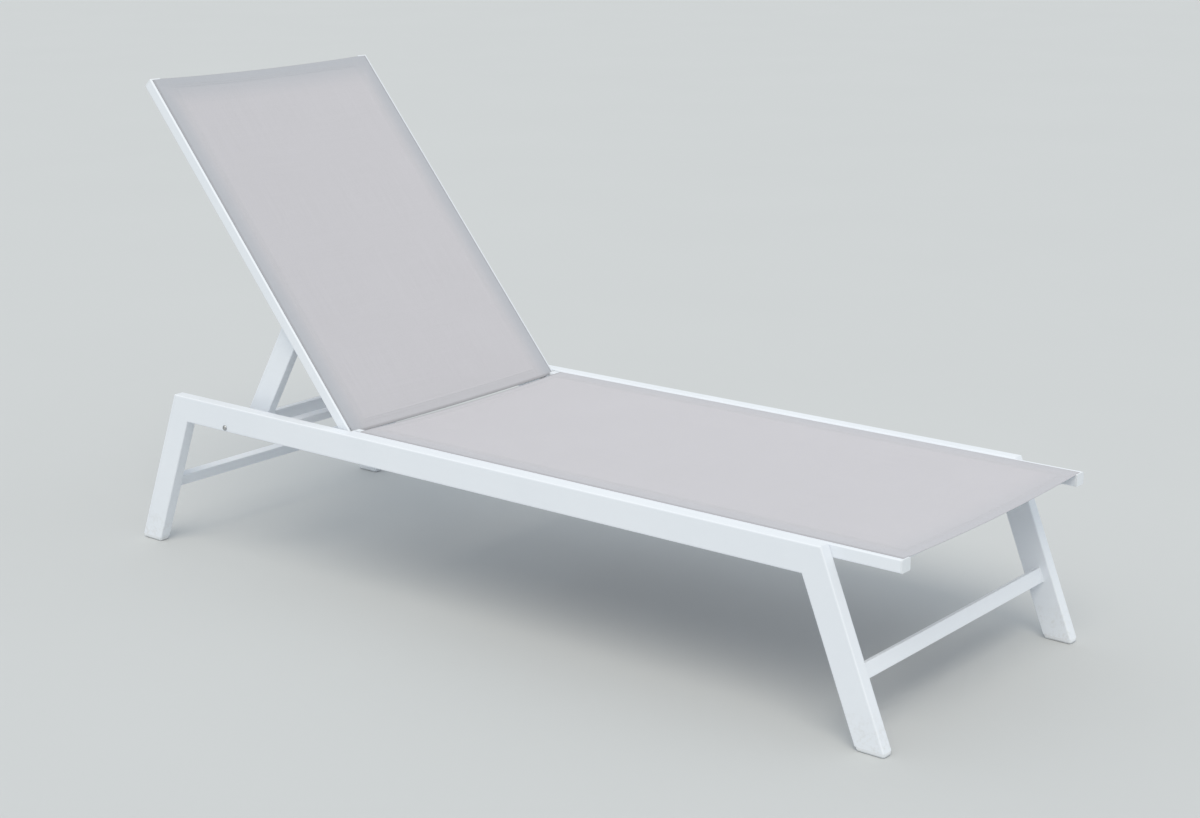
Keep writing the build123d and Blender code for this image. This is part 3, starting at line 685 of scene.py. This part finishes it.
def add_welds(coat):
    """Beads where bars meet legs and rails, and in the inner corners of the frame."""
    frame_beads, back_beads, prop_beads = Shape(), Shape(), Shape()
    level, upright = Vector((0, 1, 0)), Vector((0, 0, 1))
    back_ways = [(back_place(0, *way) - back_place(0, 0, 0)).normalized() for way in ((1, 0), (0, 1))]
    seat_inner, back_inner = INNER_X - RAIL_WIDTH, BACK_OUTER_X - RAIL_WIDTH
    for name, beads, end_x, ways, section, radius in (
        ("front_crossbar", frame_beads, INNER_X, leaning(-LEG_LEAN), CROSSBAR, CROSSBAR_BEAD),
        ("rear_crossbar", frame_beads, INNER_X, leaning(LEG_LEAN), CROSSBAR, CROSSBAR_BEAD),
        ("seat_spreader_1", frame_beads, seat_inner, (level, upright), SPREADER, SPREADER_BEAD),
        ("seat_spreader_2", frame_beads, seat_inner, (level, upright), SPREADER, SPREADER_BEAD),
        ("seat_spreader_3", frame_beads, seat_inner, (level, upright), SPREADER, SPREADER_BEAD),
        ("back_spreader_low", back_beads, back_inner, back_ways, SPREADER, SPREADER_BEAD),
        ("back_spreader_top", back_beads, back_inner, back_ways, SPREADER, SPREADER_BEAD),
        ("prop_foot_bar", prop_beads, PROP_INNER_X, (upright, level), CROSSBAR, CROSSBAR_BEAD),
        ("frame_brace", frame_beads, INNER_X, (level, upright), CROSSBAR, CROSSBAR_BEAD),
    ):
        place = middle(name)
        for side in (-1, 1):
            centre = Vector((side * (end_x - BEAD_SINK), place.y, place.z))
            bead(beads, bar_outline(centre, *ways, section), radius)
    tube_x = (side_low.x + side_high.x) / 2
    for y in (inner_corner_y(side_low.y, -1), inner_corner_y(side_high.y, 1)):
        for side in (-1, 1):
            xs = (tube_x - CORNER_REACH, tube_x, tube_x + CORNER_REACH)
            line = [Vector((side * x, y, side_low.z - CORNER_DROP)) for x in xs]
            bead(frame_beads, line, CORNER_BEAD, closed=False)
    frame_beads.make("frame_welds", coat, "frame", "frame_coat", 70.0)
    back_beads.make("back_welds", coat, "back", "frame_coat", 70.0)
    prop_beads.make("prop_welds", coat, "prop", "frame_coat", 70.0)


def inner_corner_y(end_y, sign):
    """Y of the inner corner between a leg and the side rail that ends at end_y."""
    slant = math.tan(LEG_LEAN) * TUBE_HEIGHT
    return end_y + sign * (slant - TUBE_HEIGHT / math.cos(LEG_LEAN))


# Floor, light and world

def add_floor():
    """Large plain floor."""
    sides = 96
    mesh = bpy.data.meshes.new("floor")
    ring = circle(Vector((0, 0, 0)), Vector((1, 0, 0)), Vector((0, 1, 0)), 60, sides)
    mesh.from_pydata([tuple(point) for point in ring], [], [tuple(range(sides))])
    mesh.materials.append(floor_material())
    floor = bpy.data.objects.new("floor", mesh)
    bpy.context.scene.collection.objects.link(floor)


def add_lamp():
    """One broad soft lamp high on the near side."""
    data = bpy.data.lights.new("key", "SUN")
    data.energy = 1.36
    data.color = (1.0, 0.93, 0.82)
    data.angle = math.radians(40)
    lamp = bpy.data.objects.new("key", data)
    bpy.context.scene.collection.objects.link(lamp)
    lamp.rotation_mode = "QUATERNION"
    lamp.rotation_quaternion = Vector((-0.20, -0.14, 0.34)).to_track_quat("Z", "Y")


def add_world():
    """Even sky that lights the object, behind the pale background that the camera and gloss see."""
    world = bpy.data.worlds.new("studio")
    bpy.context.scene.world = world
    world.use_nodes = True
    nodes = world.node_tree.nodes
    lights = nodes["Background"]
    lights.inputs["Color"].default_value = (0.88, 0.94, 1.0, 1)
    lights.inputs["Strength"].default_value = 0.80
    seen = node(nodes, "ShaderNodeBackground", (("Color", (0.665, 0.685, 0.685, 1)), ("Strength", 1.0)))
    rays = node(nodes, "ShaderNodeLightPath")
    share = math_node(nodes, "MAXIMUM", rays.outputs["Is Camera Ray"], rays.outputs["Is Glossy Ray"])
    share = math_node(nodes, "MAXIMUM", share, rays.outputs["Is Transmission Ray"])
    inputs = ((0, share), (1, lights.outputs[0]), (2, seen.outputs[0]))
    blend = node(nodes, "ShaderNodeMixShader", inputs)
    plug(nodes["World Output"].inputs["Surface"], blend.outputs[0])


add_camera()

powder_coat = coat_material()
dress_nodes(powder_coat)

thread_material = sewing_material()
sling_low, sling_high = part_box("seat_sling")
Sling(
    "seat_sling", "frame", seat_place, INNER_X, SEAT_GROOVE_X, sag=0.006,
    start=sling_low.y, stop=sling_high.y, loop_start=sling_low.y,
    tint=(0.618, 0.601, 0.632), painted_edge_shade_share=0.13, free_end="start",
).build()
# The back sling is the same cloth as the seat; its darker tint and stronger edge shade are painted shade
Sling(
    "back_sling", "back", back_place, BACK_OUTER_X, BACK_GROOVE_X, sag=0.008,
    start=-0.003, stop=0.815, loop_start=0.008,
    tint=(0.592, 0.578, 0.606), painted_edge_shade_share=0.33, free_end="stop",
).build()

add_welds(powder_coat)

add_floor()
add_lamp()
add_world()
bpy.context.scene.view_settings.view_transform = "Standard"
